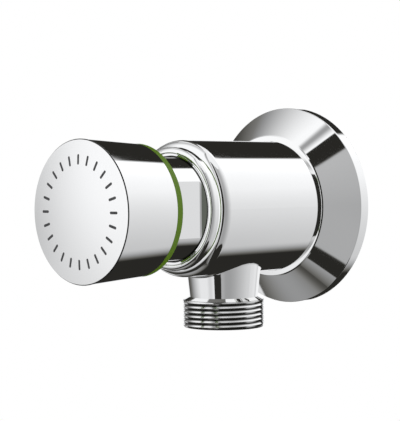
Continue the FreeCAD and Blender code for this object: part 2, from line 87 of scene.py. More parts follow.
inlet_thread_radius = 20.955 / 2 * mm
inlet_thread_front = 1.0 * mm
inlet_end = -17.0 * mm
inlet_pitch = 1.814 * mm
inlet_thread_depth = 1.16 * mm
inlet_land = 0.4 * mm
inlet_lead = 0.2 * mm

button_front = 94.0 * mm
button_rear = 71.4 * mm
button_rear_radius = 20.22 * mm
button_flare = 1.25 * mm
button_wall = 2.9 * mm
button_face_wall = 3.0 * mm
button_face_crown = 0.599 * mm
button_front_chamfer = 0.35 * mm
button_bevel = 0.27 * mm
button_bevel_round = 0.05 * mm
button_skirt_round = 0.12 * mm
button_edge_radius = button_rear_radius + button_flare - button_bevel
button_ring_width = 2.3 * mm
button_ring_lip = 3.0 * mm
button_ring_bore = 16.4 * mm
button_ring_play = 0.05 * mm
button_ring_rounds = (0.15 * mm, 0.25 * mm, 0.1 * mm)
button_boss_length = 5.0 * mm
button_boss_radius = 7.0 * mm
button_boss_foot = 0.5 * mm
button_insert_radius = 4.5 * mm

neck_radius = 16.0 * mm
groove_radius = 16.7 * mm
collar_front = 57.5 * mm

flange_radius = 32.83 * mm
flange_rim_depth = 3.8 * mm
flange_cone_front = 11.8 * mm
flange_wall = 1.5 * mm
flange_inner_rim_setback = 0.675 * mm
flange_bore_radius = 21.6 * mm
flange_front_radius = 23.7 * mm
flange_lip_step = 0.44 * mm
flange_lip_lean = 0.14 * mm
flange_lip_edge_radius = 23.3 * mm
flange_collar_radius = 24.4 * mm
flange_collar_rear = 5.6 * mm
flange_groove_radius = 23.6 * mm
flange_groove_distance = 8.6 * mm
flange_groove_half_width = 1.3 * mm
flange_rear_round = 0.2 * mm
flange_rim_round = 0.5 * mm
flange_lip_foot_round = 0.08 * mm
flange_lip_edge_round = 0.3 * mm
flange_mouth_round = 0.1 * mm
print("flange", round(2 * flange_radius / mm, 1), "mm across")

# %% [markdown]
# The camera stands where the photographer stood, a little above the valve and 45 degrees to its side.
# It looks at a point beside the valve's axis. The small roll tilts the picture as the photographer did.

# %% Camera
view_azimuth = math.radians(45.09)
view_elevation = math.radians(1.51)
view_roll = math.radians(-0.53)
look_at = Vector((0.0, -44.37 * mm, -0.744 * mm))
view_distance = 423.1 * mm
lens_length = 113.8

camera_data = bpy.data.cameras.new("camera")
camera_data.lens = lens_length
camera_data.clip_start = 0.01
camera = new_object("camera", camera_data)
bpy.context.scene.camera = camera

towards_camera = Vector((
    math.sin(view_azimuth) * math.cos(view_elevation),
    -math.cos(view_azimuth) * math.cos(view_elevation),
    math.sin(view_elevation),
))
camera.rotation_mode = "QUATERNION"
roll = Euler((0, 0, view_roll)).to_quaternion()
camera.rotation_quaternion = towards_camera.to_track_quat("Z", "Y") @ roll
camera.location = look_at + towards_camera * view_distance
print("camera at", [round(value / mm, 1) for value in camera.location], "mm")

# %% [markdown]
# Node trees are wired by a few small helpers, for shaders and for shapes alike.
# A value may be a plain number or the output of another node.

# %% Node helpers
def feed(tree, socket, value):
    if isinstance(value, bpy.types.NodeSocket):
        tree.links.new(value, socket)
    else:
        socket.default_value = value


def add_node(tree, kind, inputs=(), **settings):
    # The inputs pair the name or the number of a socket with its value.
    node = tree.nodes.new(kind)
    for name, value in settings.items():
        setattr(node, name, value)
    for name, value in dict(inputs).items():
        feed(tree, node.inputs[name], value)
    return node


def maths(tree, operation, *values):
    return add_node(tree, "ShaderNodeMath", enumerate(values), operation=operation).outputs[0]


def ramp(tree, value, low, high, start=0.0, end=1.0, shape="LINEAR"):
    # Goes from start to end while the value goes from low to high.
    inputs = enumerate((value, low, high, start, end))
    return add_node(tree, "ShaderNodeMapRange", inputs, interpolation_type=shape).outputs[0]


def product(tree, first, *others):
    for other in others:
        first = maths(tree, "MULTIPLY", first, other)
    return first


def opposite(tree, share):
    return maths(tree, "SUBTRACT", 1.0, share)


def between(tree, value, low, high, edge):
    # 1 between low and high and 0 outside. Each edge is soft over the width given.
    rise = ramp(tree, value, low - edge / 2, low + edge / 2, shape="SMOOTHSTEP")
    fall = ramp(tree, value, high - edge / 2, high + edge / 2, shape="SMOOTHSTEP")
    return maths(tree, "SUBTRACT", rise, fall)


def split(tree, vector):
    return add_node(tree, "ShaderNodeSeparateXYZ", {0: vector}).outputs


def mix_colours(tree, factor, *colours):
    # A colour is three numbers or the output of another node. Colours go in from socket 6 on.
    mix = add_node(tree, "ShaderNodeMix", {"Factor": factor}, data_type="RGBA")
    for socket, colour in zip(mix.inputs[6:], colours):
        feed(tree, socket, colour if isinstance(colour, bpy.types.NodeSocket) else (*colour, 1.0))
    return mix.outputs[2]


def camera_sees(tree, shown, otherwise):
    # Camera rays get the first shader, and all other rays get the second.
    choice = add_node(tree, "ShaderNodeMixShader", {1: otherwise, 2: shown})
    feed(tree, choice.inputs[0], add_node(tree, "ShaderNodeLightPath").outputs["Is Camera Ray"])
    return choice.outputs[0]


def towards(azimuth, elevation):
    flat = math.cos(math.radians(elevation))
    return Vector((
        flat * math.cos(math.radians(azimuth)),
        flat * math.sin(math.radians(azimuth)),
        math.sin(math.radians(elevation)),
    ))


print("straight ahead of the button is", [round(value, 2) for value in towards(-90, 0)])

# %% [markdown]
# Chrome has no colour of its own, so what it reflects is its look. A studio for chrome is a dark room
# with large soft lights and a pale backdrop, and the edges of the lights draw the crisp dark bands.
# The room is painted in the world's shader by direction, so no lamp stands in the picture.
# Azimuth is counted in degrees from +X towards +Y, and the camera stands at azimuth -45.

# %% Directions in the studio
world = bpy.data.worlds.new("studio")
world.use_nodes = True
bpy.context.scene.world = world
tree = world.node_tree
tree.nodes.clear()

direction = add_node(tree, "ShaderNodeTexCoord").outputs["Generated"]
across, along, height = split(tree, direction)
azimuth = maths(tree, "DEGREES", maths(tree, "ARCTAN2", along, across))
elevation = maths(tree, "DEGREES", maths(tree, "ARCSINE", height))


def facing(centre):
    inputs = {0: direction, 1: centre}
    return add_node(tree, "ShaderNodeVectorMath", inputs, operation="DOT_PRODUCT").outputs["Value"]


print("direction nodes:", len(tree.nodes))

# %% [markdown]
# Two lights stand in front of the valve. A wide sheet of light on the right brightens away from the camera
# and towards its top. A round soft light in front and above fades slowly to the left, and a narrow flag
# in front of it takes some light away, most of it near the top.

# %% Side light and front light
side_light_level = 0.43
side_light_middle = 0.615
side_light_lift = 0.0102
side_light_top = 0.83
side_light_dip = 0.07
side_light_slant = 0.22
front_light_centre = towards(-96, 21)
front_light_level = 1.05
front_light_falloff = 1.6
front_tail_slope = 0.46
front_tail_level = 0.139
left_end_shade = 0.4


def side_light():
    away = ramp(tree, azimuth, -25, 95)
    lift = maths(tree, "MULTIPLY_ADD", elevation, side_light_lift, side_light_middle)
    gain = maths(tree, "MINIMUM", lift, side_light_top)
    near_top = product(tree, ramp(tree, elevation, 0, 40, 0.0, 0.08), opposite(tree, away))
    dip = product(tree, ramp(tree, azimuth, -47, -38), ramp(tree, azimuth, -10, 40, side_light_dip, 0.0))
    level = maths(tree, "MULTIPLY_ADD", away, gain, maths(tree, "ADD", near_top, side_light_level))
    level = maths(tree, "SUBTRACT", level, dip)
    leaning = maths(tree, "MULTIPLY_ADD", maths(tree, "ABSOLUTE", elevation), side_light_slant, azimuth)
    left_edge = ramp(tree, leaning, -49.6, -48.4, shape="SMOOTHSTEP")
    edge_place = ramp(tree, along, 0.703, 0.716, -0.17, -0.04)
    crisp_edge = ramp(tree, maths(tree, "SUBTRACT", across, edge_place), -0.04, 0.04, shape="SMOOTHSTEP")
    soft_edge = ramp(tree, across, -0.04, 0.27, shape="SMOOTHSTEP")
    right_edge = ramp(tree, ramp(tree, elevation, -30, 0), 0, 1, soft_edge, crisp_edge)
    ends = between(tree, elevation, -52, 60, 3)
    return product(tree, level, left_edge, right_edge, ends)


def front_light():
    nearness = facing(front_light_centre)
    glow = ramp(tree, nearness, -0.2, 0.7)
    level = product(tree, maths(tree, "POWER", glow, front_light_falloff), front_light_level)
    tail = maths(tree, "MULTIPLY_ADD", nearness, front_tail_slope, front_tail_level)
    level = maths(tree, "MAXIMUM", level, tail)
    flag = product(tree, between(tree, azimuth, -96, -82, 12), ramp(tree, elevation, -20, 60, 0.15, 0.66))
    open_side = opposite(tree, between(tree, azimuth, -75.5, 100, 1.5))
    above_floor = ramp(tree, elevation, -40, -30, shape="SMOOTHSTEP")
    low_part = ramp(tree, elevation, -14, 0, 0.82, 1.0)
    far_left = maths(tree, "POWER", ramp(tree, azimuth, -134, -154), 2.0)
    left_end = product(tree, far_left, between(tree, elevation, -7, 30, 8), left_end_shade)
    dimming = product(tree, opposite(tree, flag), opposite(tree, left_end), low_part)
    return product(tree, level, dimming, open_side, above_floor)


print("front light level", front_light_level, "and side light level", side_light_level)

# %% [markdown]
# The rest of the room is a pale ceiling, which reaches lower behind the valve and has a dark window there,
# a strip of paper behind the valve, a card on the table behind and to the left, and the table under the
# front light. The far edge of the table slants, and a narrow bright strip lies at its right end.

# %% Ceiling, backdrop and table
ceiling_level = 0.96
ceiling_step = 26.0
backdrop_level = 0.97
table_glow_centre = towards(-158, -58)
table_glow_level = 0.32
table_glow_falloff = 1.5


def ceiling():
    behind_edge = ramp(tree, azimuth, 98, 108, 59, 44)
    step_down = product(tree, between(tree, azimuth, 146, 158, 3), ceiling_step)
    lower_edge = maths(tree, "SUBTRACT", behind_edge, step_down)
    above_edge = ramp(tree, maths(tree, "SUBTRACT", elevation, lower_edge), -1, 1)
    front_end = ramp(tree, azimuth, -78, -75)
    window = between(tree, azimuth, 131, 152.5, 1.5)
    level = ramp(tree, azimuth, 160, 180, ceiling_level, 0.5 * ceiling_level)
    return product(tree, level, front_end, above_edge, opposite(tree, window))


def backdrop():
    wide = between(tree, azimuth, 90, 163, 3)
    tall = between(tree, elevation, -14, 11, 3)
    return product(tree, wide, tall, backdrop_level)


def low_card():
    wide = between(tree, azimuth, 152, 167.8, 2)
    tall = between(tree, elevation, -38, -14, 3)
    return product(tree, wide, tall, ramp(tree, elevation, -35, -17, 0.85, 0.5))


def lit_table():
    glow = ramp(tree, facing(table_glow_centre), 0.72, 1.0)
    round_left = maths(tree, "MULTIPLY_ADD", maths(tree, "GREATER_THAN", azimuth, 90), -360, azimuth)
    left_part = ramp(tree, round_left, -128, -100, 1.0, 0.45, shape="SMOOTHSTEP")
    far_edge = ramp(tree, round_left, -192, -135, -32, -63)
    before_edge = ramp(tree, maths(tree, "SUBTRACT", elevation, far_edge), -2, 2, 1.0, 0.0)
    strip = product(tree, ramp(tree, azimuth, -98, -76, 0.1, 0.34), between(tree, azimuth, -98, -75.5, 1.5))
    low = product(tree, strip, ramp(tree, elevation, -34, -44))
    shine = maths(tree, "POWER", glow, table_glow_falloff)
    table = product(tree, shine, left_part, before_edge, table_glow_level)
    return maths(tree, "MAXIMUM", table, low)


print("ceiling level", ceiling_level, "and backdrop level", backdrop_level)

# %% [markdown]
# Each direction shows the brightest of these panels. Dim places are a little warmer than the lamps, as
# in a real room. Camera rays see plain white instead.

# %% The studio's shader
room_level = 0.022
lamp_colour = (0.975, 0.982, 1.0)
lamp_colour_from = 0.3
shade_colour = (1.0, 0.965, 0.86)

light = room_level
for panel in (side_light(), front_light(), ceiling(), backdrop(), low_card(), lit_table()):
    light = maths(tree, "MAXIMUM", panel, light)

hue = mix_colours(tree, ramp(tree, light, room_level, lamp_colour_from), shade_colour, lamp_colour)
studio = add_node(tree, "ShaderNodeBackground", {"Strength": light, "Color": hue})
white = add_node(tree, "ShaderNodeBackground", {"Strength": 1.0, "Color": (1.0, 1.0, 1.0, 1.0)})
seen = camera_sees(tree, white.outputs[0], studio.outputs[0])
add_node(tree, "ShaderNodeOutputWorld", {"Surface": seen})
bpy.context.scene.view_settings.view_transform = "Standard"
print("studio nodes:", len(tree.nodes))

# %% [markdown]
# The valve hangs from its wall pipe, so the pale floor lies far below it, as under a product on a stand.
# Its shader is plain white to the camera. Mirrors see the painted studio through it.

# %% Floor
floor_depth = 1.1
floor_size = 60.0

half = floor_size / 2
floor_outline = ((-half, -half), (half, -half), (half, half), (-half, half))
floor_corners = [(x, y, -floor_depth) for x, y in floor_outline]
floor_mesh = bpy.data.meshes.new("floor")
floor_mesh.from_pydata(floor_corners, [], [(0, 1, 2, 3)])
floor = new_object("floor", floor_mesh)
floor.visible_glossy = False

paper = bpy.data.materials.new("floor_paper")
paper.use_nodes = True
tree = paper.node_tree
tree.nodes.clear()
matt = add_node(tree, "ShaderNodeBsdfDiffuse", {"Color": (0.8, 0.8, 0.79, 1.0)})
glow = add_node(tree, "ShaderNodeEmission")
seen = camera_sees(tree, glow.outputs[0], matt.outputs[0])
add_node(tree, "ShaderNodeOutputMaterial", {"Surface": seen})
floor_mesh.materials.append(paper)
print("floor", floor_depth, "m below the valve")

# %% [markdown]
# Every finish starts from one Principled shader. Patterns are laid out in Object coordinates,
# in metres, so that they keep their real scale on each part.

# %% Finish helpers
def new_finish(name, colour, metallic, roughness):
    material = bpy.data.materials.new(name)
    material.use_nodes = True
    tree = material.node_tree
    shader = tree.nodes["Principled BSDF"]
    shader.inputs["Base Color"].default_value = (*colour, 1.0)
    shader.inputs["Metallic"].default_value = metallic
    shader.inputs["Roughness"].default_value = roughness
    return material, tree, shader


def object_place(tree):
    return add_node(tree, "ShaderNodeTexCoord").outputs["Object"]


def root_of_squares(tree, first, second):
    squares = [product(tree, value, value) for value in (first, second)]
    return maths(tree, "SQRT", maths(tree, "ADD", *squares))


def place_round_axis(tree):
    # The distance from the wall and the distance from the valve's axis.
    x, y, z = split(tree, object_place(tree))
    return product(tree, y, -1.0), root_of_squares(tree, x, z)


def place_round_outlet(tree):
    # The depth below the valve's axis and the distance from the outlet's axis.
    x, y, z = split(tree, object_place(tree))
    return product(tree, z, -1.0), root_of_squares(tree, x, maths(tree, "ADD", y, outlet_distance))


def noise(tree, place, scale, detail=2.0, roughness=0.5):
    inputs = {"Vector": place, "Scale": scale, "Detail": detail, "Roughness": roughness}
    return add_node(tree, "ShaderNodeTexNoise", inputs).outputs["Fac"]


def relief(tree, shader, height, depth, strength=1.0):
    bump = add_node(tree, "ShaderNodeBump", {"Height": height, "Distance": depth, "Strength": strength})
    feed(tree, shader.inputs["Normal"], bump.outputs[0])


def tint(tree, shader, factor, first, second):
    feed(tree, shader.inputs["Base Color"], mix_colours(tree, factor, first, second))


def paint_shade(tree, shader, factor, colour):
    # Paints shade: lays a dark colour over the base colour where the factor is 1.
    clean = shader.inputs["Base Color"].links[0].from_socket
    tint(tree, shader, factor, clean, colour)


print("finish helpers ready")

# %% [markdown]
# Bright chrome is a very thin hard plate over polished brass. It is almost a perfect mirror,
# with a faint waviness left by the polishing wheel and faint clouds where hands have wiped it.
# Threads can't be polished before they are plated, so they have a duller chrome. The roots of their
# grooves get painted shade: a dark colour laid into them.

# %% Chrome
wave_depth = 0.002 * mm
# Painted shade: the dark colour laid into thread roots and into the head's groove.
painted_shade_colour = (0.03, 0.03, 0.028)


def make_chrome(name, roughness_low=0.03, roughness_high=0.055):
    material, tree, shader = new_finish(name, (0.93, 0.93, 0.925), 1.0, roughness_low)
    place = object_place(tree)
    clouds = noise(tree, place, 60.0, 4.0)
    feed(tree, shader.inputs["Roughness"], ramp(tree, clouds, 0.3, 0.7, roughness_low, roughness_high))
    tint(tree, shader, noise(tree, place, 35.0), (0.915, 0.915, 0.905), (0.945, 0.945, 0.94))
    relief(tree, shader, noise(tree, place, 140.0, 1.0), wave_depth)
    return material, tree, shader


def make_thread_chrome(name, place_round, crest_radius, depth):
    # The painted shade of the root fades out on the way up to the crest.
    material, tree, shader = make_chrome(name, 0.12, 0.18)
    radius = place_round(tree)[1]
    dark_up_to = crest_radius - 0.85 * depth
    bright_from = crest_radius - 0.35 * depth
    painted_shade_in_root = ramp(tree, radius, dark_up_to, bright_from, 1.0, 0.0)
    paint_shade(tree, shader, painted_shade_in_root, painted_shade_colour)
    return material


chrome = make_chrome("polished_chrome")[0]
outlet_size = (outlet_thread_radius, outlet_thread_depth)
inlet_size = (inlet_thread_radius, inlet_thread_depth)
outlet_chrome = make_thread_chrome("outlet_chrome", place_round_outlet, *outlet_size)
inlet_chrome = make_thread_chrome("inlet_chrome", place_round_axis, *inlet_size)
print("chrome finishes:", chrome.name, outlet_chrome.name, inlet_chrome.name)

# %% [markdown]
# The face of the button is satin: it was brushed in fine circles before it was plated, so it
# shows soft light without a clear image. The narrow bevel round it is painted dark, a painted shade line
# round the face. One material covers the button and finds these places by their
# distance from the wall and from the axis.

# %% Satin face
satin_roughness = 0.13
# Colour of the painted shade line on the bevel.
painted_bevel_shade_colour = (0.05, 0.05, 0.048)


def make_button_chrome():
    material, tree, shader = make_chrome("button_chrome")
    polished = shader.inputs["Roughness"].links[0].from_socket
    distance, radius = place_round_axis(tree)
    edge = 0.01 * mm
    bevel_rear = button_front - button_bevel
    in_front = ramp(tree, distance, bevel_rear - 3 * edge, bevel_rear + edge)
    outside = ramp(tree, radius, button_edge_radius - edge, button_edge_radius + edge)
    on_face = product(tree, in_front, opposite(tree, outside))
    feed(tree, shader.inputs["Roughness"], ramp(tree, on_face, 0.0, 1.0, polished, satin_roughness))
    # The bevel gets the painted shade line.
    paint_shade(tree, shader, product(tree, in_front, outside), painted_bevel_shade_colour)
    return material


button_chrome = make_button_chrome()
print("button finish:", button_chrome.name)

# %% [markdown]
# The head has a narrow groove round its neck and a sharp step behind each spanner flat. Both corners
# get painted shade: dark colours laid into them.

# %% Painted shade in the head's corners
# Colour of the painted shade on the step behind each flat.
painted_step_shade_colour = (0.11, 0.12, 0.10)


def make_head_chrome():
    material, tree, shader = make_chrome("head_chrome")
    distance, radius = place_round_axis(tree)
    edge = 0.03 * mm
    painted_shade_in_groove = product(
        tree,
        ramp(tree, radius, neck_radius - 2 * edge, neck_radius - edge),
        ramp(tree, radius, groove_radius + edge, groove_radius + 2 * edge, 1.0, 0.0),
        ramp(tree, distance, collar_front - 2 * edge, collar_front - edge, 1.0, 0.0),
    )
    painted_shade_on_step = product(
        tree,
        ramp(tree, distance, collar_front - 8 * edge, collar_front - 7 * edge),
        ramp(tree, distance, collar_front, collar_front + edge, 1.0, 0.0),
        ramp(tree, radius, neck_radius, neck_radius + edge, 1.0, 0.0),
    )
    # Painted shade in the groove and on the step.
    paint_shade(tree, shader, painted_shade_in_groove, painted_shade_colour)
    paint_shade(tree, shader, painted_shade_on_step, painted_step_shade_colour)
    return material


head_chrome = make_head_chrome()
print("head finish:", head_chrome.name)

# %% [markdown]
# The ring is moulded in green plastic: colour all the way through, a soft gloss,
# and the very fine grain that a spark-eroded mould leaves.

# %% Green plastic
grain_depth = 0.01 * mm


def make_grained(name, colour, roughness, cloud_scale, dark, light, grain_scale, grain_strength=0.3):
    # Faint clouds between two shades, under a fine grain.
    material, tree, shader = new_finish(name, colour, 0.0, roughness)
    place = object_place(tree)
    tint(tree, shader, noise(tree, place, cloud_scale, 3.0), dark, light)
    relief(tree, shader, noise(tree, place, grain_scale), grain_depth, grain_strength)
    return material, tree, shader, place


def make_green_plastic():
    dark, middle, light = (0.129, 0.25, 0.0085), (0.137, 0.265, 0.009), (0.147, 0.28, 0.0105)
    ring_plastic = make_grained("green_plastic", middle, 0.4, 90.0, dark, light, 3500.0, 0.35)
    material, tree, shader, place = ring_plastic
    shader.inputs["Specular IOR Level"].default_value = 0.22
    feed(tree, shader.inputs["Roughness"], ramp(tree, noise(tree, place, 400.0), 0.3, 0.7, 0.32, 0.42))
    return material


green_plastic = make_green_plastic()
print("ring finish:", green_plastic.name)

# %% [markdown]
# Machined brass and turned steel carry fine rings from the lathe. The rings follow the valve's axis,
# so they are a wave along Y, broken up by a little noise. A wave of scale 1 repeats every 0.314 metres.

# %% Turned metal
wave_at_scale_one = 0.314


def make_turned_metal(name, dark, light, ring_spacing, roughness):
    material, tree, shader = new_finish(name, light, 1.0, roughness)
    place = object_place(tree)
    inputs = {"Vector": place, "Scale": wave_at_scale_one / ring_spacing, "Distortion": 0.6, "Detail": 2.0}
    rings = add_node(tree, "ShaderNodeTexWave", inputs, bands_direction="Y").outputs["Fac"]
    tint(tree, shader, noise(tree, place, 130.0, 4.0), dark, light)
    feed(tree, shader.inputs["Roughness"], ramp(tree, rings, 0.0, 1.0, roughness - 0.06, roughness + 0.06))
    relief(tree, shader, rings, 0.004 * mm, 0.5)
    return material


brass = make_turned_metal("machined_brass", (0.66, 0.45, 0.17), (0.78, 0.57, 0.25), 0.22 * mm, 0.24)
steel = make_turned_metal("stainless_steel", (0.50, 0.50, 0.50), (0.62, 0.62, 0.62), 0.18 * mm, 0.26)
print("turned metals:", brass.name, steel.name)

# %% [markdown]
# The seals are smooth black nitrile rubber with a dusty bloom. The guide bush and the piston are white
# acetal, with a soft gloss and a faint grain.

# %% Rubber and white plastic
def make_rubber():
    material, tree, shader = new_finish("black_rubber", (0.02, 0.02, 0.02), 0.0, 0.55)
    place = object_place(tree)
    bloom = noise(tree, place, 220.0, 5.0, 0.6)
    tint(tree, shader, ramp(tree, bloom, 0.4, 0.75), (0.014, 0.014, 0.015), (0.045, 0.044, 0.042))
    feed(tree, shader.inputs["Roughness"], ramp(tree, bloom, 0.3, 0.7, 0.48, 0.66))
    relief(tree, shader, noise(tree, place, 1800.0, 3.0), 0.02 * mm, 0.4)
    return material


def make_white_plastic():
    dark, middle, light = (0.77, 0.77, 0.735), (0.80, 0.80, 0.77), (0.83, 0.83, 0.805)
    return make_grained("white_plastic", middle, 0.4, 120.0, dark, light, 2500.0)[0]


rubber = make_rubber()
white_plastic = make_white_plastic()
print("soft finishes:", rubber.name, white_plastic.name)

# %% [markdown]
# The marks on the button are filled with dark enamel, hard and slightly glossy.

# %% Enamel
def make_enamel():
    dark, middle, light = (0.035, 0.035, 0.037), (0.05, 0.05, 0.052), (0.07, 0.07, 0.072)
    return make_grained("dark_enamel", middle, 0.38, 900.0, dark, light, 4000.0)[0]


enamel = make_enamel()
print("mark finish:", enamel.name)

# %% [markdown]
# What follows a rule or repeats is made by a Geometry Nodes tree with named inputs for its sizes. These
# helpers begin and end such a tree, run it once and keep the result as a plain mesh.

# %% Trees that make shapes
weld_distance = 0.001 * mm


def new_shape_tree(name, inputs):
    tree = bpy.data.node_groups.new(name, "GeometryNodeTree")
    tree.interface.new_socket("Geometry", in_out="OUTPUT", socket_type="NodeSocketGeometry")
    tree.interface.new_socket("Geometry", in_out="INPUT", socket_type="NodeSocketGeometry")
    for label, kind in inputs.items():
        tree.interface.new_socket(label, in_out="INPUT", socket_type="NodeSocket" + kind)
    return tree, add_node(tree, "NodeGroupInput").outputs


def whole(tree, operation, *values):
    return add_node(tree, "FunctionNodeIntegerMath", enumerate(values), operation=operation).outputs[0]


def weld(tree, shape):
    inputs = {"Geometry": shape, "Distance": weld_distance}
    return add_node(tree, "GeometryNodeMergeByDistance", inputs).outputs[0]


def end_shape_tree(tree, shape, finish):
    real = add_node(tree, "GeometryNodeRealizeInstances", {"Geometry": shape})
    painted = add_node(tree, "GeometryNodeSetMaterial", {"Geometry": real.outputs[0], "Material": finish})
    add_node(tree, "NodeGroupOutput", {"Geometry": painted.outputs[0]})


def make_shape(name, tree, start, values):
    piece = new_object(name, start)
    modifier = piece.modifiers.new("shape", "NODES")
    modifier.node_group = tree
    for item in tree.interface.items_tree:
        if item.in_out == "INPUT" and item.name in values:
            modifier[item.identifier] = values[item.name]
    depsgraph = bpy.context.evaluated_depsgraph_get()
    mesh = bpy.data.meshes.new_from_object(piece.evaluated_get(depsgraph), depsgraph=depsgraph)
    piece.modifiers.remove(modifier)
    piece.data = mesh
    point_outwards(mesh)
    print(name, len(mesh.vertices), "points,", len(mesh.polygons), "faces")
    return piece


def point_outwards(mesh):
    work = bmesh.new()
    work.from_mesh(mesh)
    bmesh.ops.recalc_face_normals(work, faces=work.faces)
    work.to_mesh(mesh)
    work.free()


print("points closer than", weld_distance / mm, "mm are welded")

# %% [markdown]
# Most outside parts are turned: one outline is spun about the valve's axis, as on a lathe. The tree
# lays a grid with one column for each angle and one row for each point of the outline, then moves every
# grid point to its place. A sharp corner of the outline stays a sharp edge.

# %% The spinning tree
def rows_and_columns(tree, outline, steps):
    # A grid whose columns are angles and whose rows are the points of the outline.
    size = add_node(tree, "GeometryNodeAttributeDomainSize", {0: outline}, component="MESH")
    count = size.outputs["Point Count"]
    columns = whole(tree, "ADD", steps, 1)
    grid = add_node(tree, "GeometryNodeMeshGrid", {"Vertices X": columns, "Vertices Y": count})
    index = add_node(tree, "GeometryNodeInputIndex").outputs[0]
    column = whole(tree, "DIVIDE_FLOOR", index, count)
    turn = maths(tree, "DIVIDE", column, steps)
    return grid.outputs["Mesh"], whole(tree, "MODULO", index, count), turn


def point_of_row(tree, outline, row):
    position = add_node(tree, "GeometryNodeInputPosition").outputs[0]
    inputs = {"Geometry": outline, "Value": position, "Index": row}
    return add_node(tree, "GeometryNodeSampleIndex", inputs, data_type="FLOAT_VECTOR").outputs[0]


def spin(tree, vector, axis, turn):
    inputs = {"Vector": vector, "Axis": axis, "Angle": product(tree, turn, 2 * math.pi)}
    return add_node(tree, "ShaderNodeVectorRotate", inputs, rotation_type="AXIS_ANGLE").outputs[0]


def close_and_sharpen(tree, grid, place, sharp_angle):
    # Moves the grid to its place, closes its seam and keeps the sharp corners sharp.
    moved = add_node(tree, "GeometryNodeSetPosition", {"Geometry": grid, "Position": place})
    closed = weld(tree, moved.outputs[0])
    smooth = add_node(tree, "GeometryNodeSetShadeSmooth", {"Geometry": closed}, domain="FACE")
    bend = add_node(tree, "GeometryNodeInputMeshEdgeAngle").outputs["Unsigned Angle"]
    corner = maths(tree, "GREATER_THAN", bend, sharp_angle)
    inputs = {"Geometry": smooth.outputs[0], "Selection": corner, "Shade Smooth": False}
    return add_node(tree, "GeometryNodeSetShadeSmooth", inputs, domain="EDGE").outputs[0]


def build_spinning_tree():
    inputs = {"Steps": "Int", "Sharp Angle": "Float", "Finish": "Material"}
    tree, given = new_shape_tree("spun_outline", inputs)
    outline = given["Geometry"]
    grid, row, turn = rows_and_columns(tree, outline, given["Steps"])
    place = spin(tree, point_of_row(tree, outline, row), (0.0, 1.0, 0.0), turn)
    shape = close_and_sharpen(tree, grid, place, given["Sharp Angle"])
    end_shape_tree(tree, shape, given["Finish"])
    return tree


spinning_tree = build_spinning_tree()
print("spinning tree:", len(spinning_tree.nodes), "nodes")

# %% [markdown]
# An outline is written as corners: distance from the wall, radius, and the round at that corner.
# A mirror shows every kink, so a round becomes a fine arc, and one extra point just beside each end
# of the arc keeps the flat or conical surface next to it perfectly straight.

# %% Outlines
round_steps = 12
holding_distance = 0.05 * mm
spin_steps = 320
sharp_bend = 0.35


def rounded_outline(corners):
    points = []
    for index, (distance, radius, bend) in enumerate(corners):
        here = Vector((distance, radius))
        if bend == 0:
            points.append(here)
            continue
        before = Vector(corners[index - 1][:2]) - here
        after = Vector(corners[(index + 1) % len(corners)][:2]) - here
        before.normalize()
        after.normalize()
        half = before.angle(after) / 2
        reach = bend / math.tan(half)
        centre = here + (before + after).normalized() * (bend / math.sin(half))
        first = here + before * reach - centre
        sweep = first.angle_signed(here + after * reach - centre)
        points.append(here + before * (reach + holding_distance))
        for step in range(round_steps + 1):
            angle = -sweep * step / round_steps
            turned = Vector((
                first.x * math.cos(angle) - first.y * math.sin(angle),
                first.x * math.sin(angle) + first.y * math.cos(angle),
            ))
            points.append(centre + turned)
        points.append(here + after * (reach + holding_distance))
    return points


def spun_piece(name, points, finish):
    start = bpy.data.meshes.new(name)
    closed = points + points[:1]
    start.from_pydata([(radius, -distance, 0.0) for distance, radius in closed], [], [])
    values = {"Steps": spin_steps, "Sharp Angle": sharp_bend, "Finish": finish}
    return make_shape(name, spinning_tree, start, values)


print("an arc has", round_steps, "steps")

# %% [markdown]
# The wall flange is a spun cone with a short rim against the wall and a collar round the barrel.
# It is pressed from sheet, so all its visible edges are slightly round.

# %% Wall flange
def make_flange():
    inner_radius = flange_radius - flange_wall
    slope = (flange_radius - flange_front_radius) / (flange_cone_front - flange_rim_depth)
    inner_rim = flange_rim_depth - flange_inner_rim_setback
    inner_front = inner_rim + (inner_radius - flange_collar_radius) / slope
    lip_front = flange_cone_front + flange_lip_step
    groove_front = flange_groove_distance + flange_groove_half_width
    groove_rear = flange_groove_distance - flange_groove_half_width
    outline = rounded_outline([
        (0.0, inner_radius, 0.0),
        (0.0, flange_radius, flange_rear_round),
        (flange_rim_depth, flange_radius, flange_rim_round),
        (flange_cone_front, flange_front_radius, flange_lip_foot_round),
        (lip_front - flange_lip_lean, flange_lip_edge_radius, flange_lip_edge_round),
        (lip_front, flange_bore_radius, flange_mouth_round),
        (groove_front, flange_bore_radius, 0.0),
        (groove_front, flange_groove_radius, 0.0),
        (groove_rear, flange_groove_radius, 0.0),
        (groove_rear, flange_bore_radius, 0.0),
        (flange_collar_rear, flange_bore_radius, 0.0),
        (flange_collar_rear, flange_collar_radius, 0.0),
        (inner_front, flange_collar_radius, 0.0),
        (inner_rim, inner_radius, 0.0),
    ])
    return spun_piece("flange_shell", outline, chrome)


flange = make_flange()
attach(flange, "flange")
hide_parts("wall_flange")

# %% [markdown]
# The button is a tapered cap. Its face is crowned by 0.6 mm, a slice of a large ball, so that
# a thumb finds the middle. The crown is worked out from its height, and the outline follows its arc.

# %% Push button
face_steps = 16
button_front_radius = button_rear_radius + button_flare
button_taper = button_flare / (button_front - button_rear)
button_skirt_radius = button_rear_radius + button_taper * button_ring_width
button_inner_radius = button_rear_radius - button_wall
face_radius = button_front_radius - button_front_chamfer
crown_radius = (face_radius ** 2 + button_face_crown ** 2) / (2 * button_face_crown)


def face_distance(radius):
    # How far the crowned face stands from the wall at this radius.
    drop = crown_radius - math.sqrt(crown_radius ** 2 - radius ** 2)
    return button_front + button_face_crown - drop


